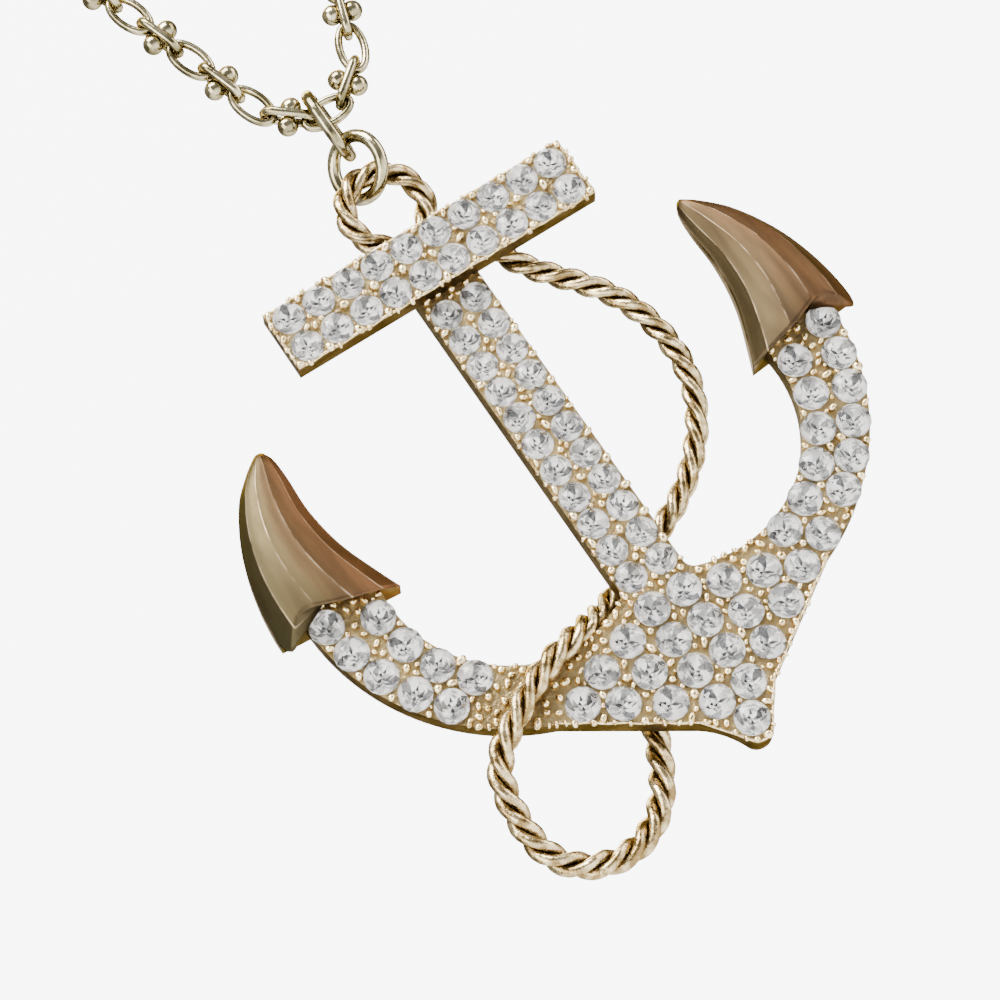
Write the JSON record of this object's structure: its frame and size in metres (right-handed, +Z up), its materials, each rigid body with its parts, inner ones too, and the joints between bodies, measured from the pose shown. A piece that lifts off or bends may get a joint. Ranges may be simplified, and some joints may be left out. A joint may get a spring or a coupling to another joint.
{
  "type": "anchor pendant necklace",
  "caption": "Anchor pendant paved with clear stones, with polished horn-shaped flukes and a twisted-wire rope, hanging by a ring and a bail from a ball-and-link chain.",
  "frame": {"origin": "top of the chain loop, at the underside of the clasp, where the necklace lies on the nape", "axes": "+Z up, the pendant hangs along -Z; +X to the wearer's left as seen from the front; the stone side faces -Y"},
  "size_m": [0.1128, 0.0077, 0.2886],
  "materials": {
    "cast_gold": "champagne gold plate on a cast body, satin between the stones",
    "polished_gold": "champagne gold plate, polished",
    "wire_gold": "champagne gold plated twisted wire, bright with darker grooves",
    "chain_gold": "pale gold plated wire links, bright",
    "crystal": "clear faceted glass with a silvered underside"
  },
  "bodies": {
    "chain": {"chain_left": "chain_gold", "chain_right": "chain_gold", "clasp": "chain_gold", "bail": "polished_gold"},
    "ring": {"jump_ring": "polished_gold"},
    "pendant": {"anchor_body": "cast_gold", "stock_bar": "cast_gold", "fluke_left": "polished_gold", "fluke_right": "polished_gold", "rope": "wire_gold", "shackle": "wire_gold", "stones_stock": "crystal", "stones_shank": "crystal", "stones_crown": "crystal"}
  },
  "joints": [
    {"name": "side_swing", "type": "hinge", "parent": "chain", "child": "ring", "pos_m": [-0.00065, 0, -0.2148], "axis": [-0.2588, -0.9659, 0], "range_deg": [-30, 30]},
    {"name": "front_swing", "type": "hinge", "parent": "ring", "child": "pendant", "pos_m": [-0.00065, 0, -0.21747], "axis": [0.9848, 0.1736, 0], "range_deg": [-30, 30]}
  ]
}
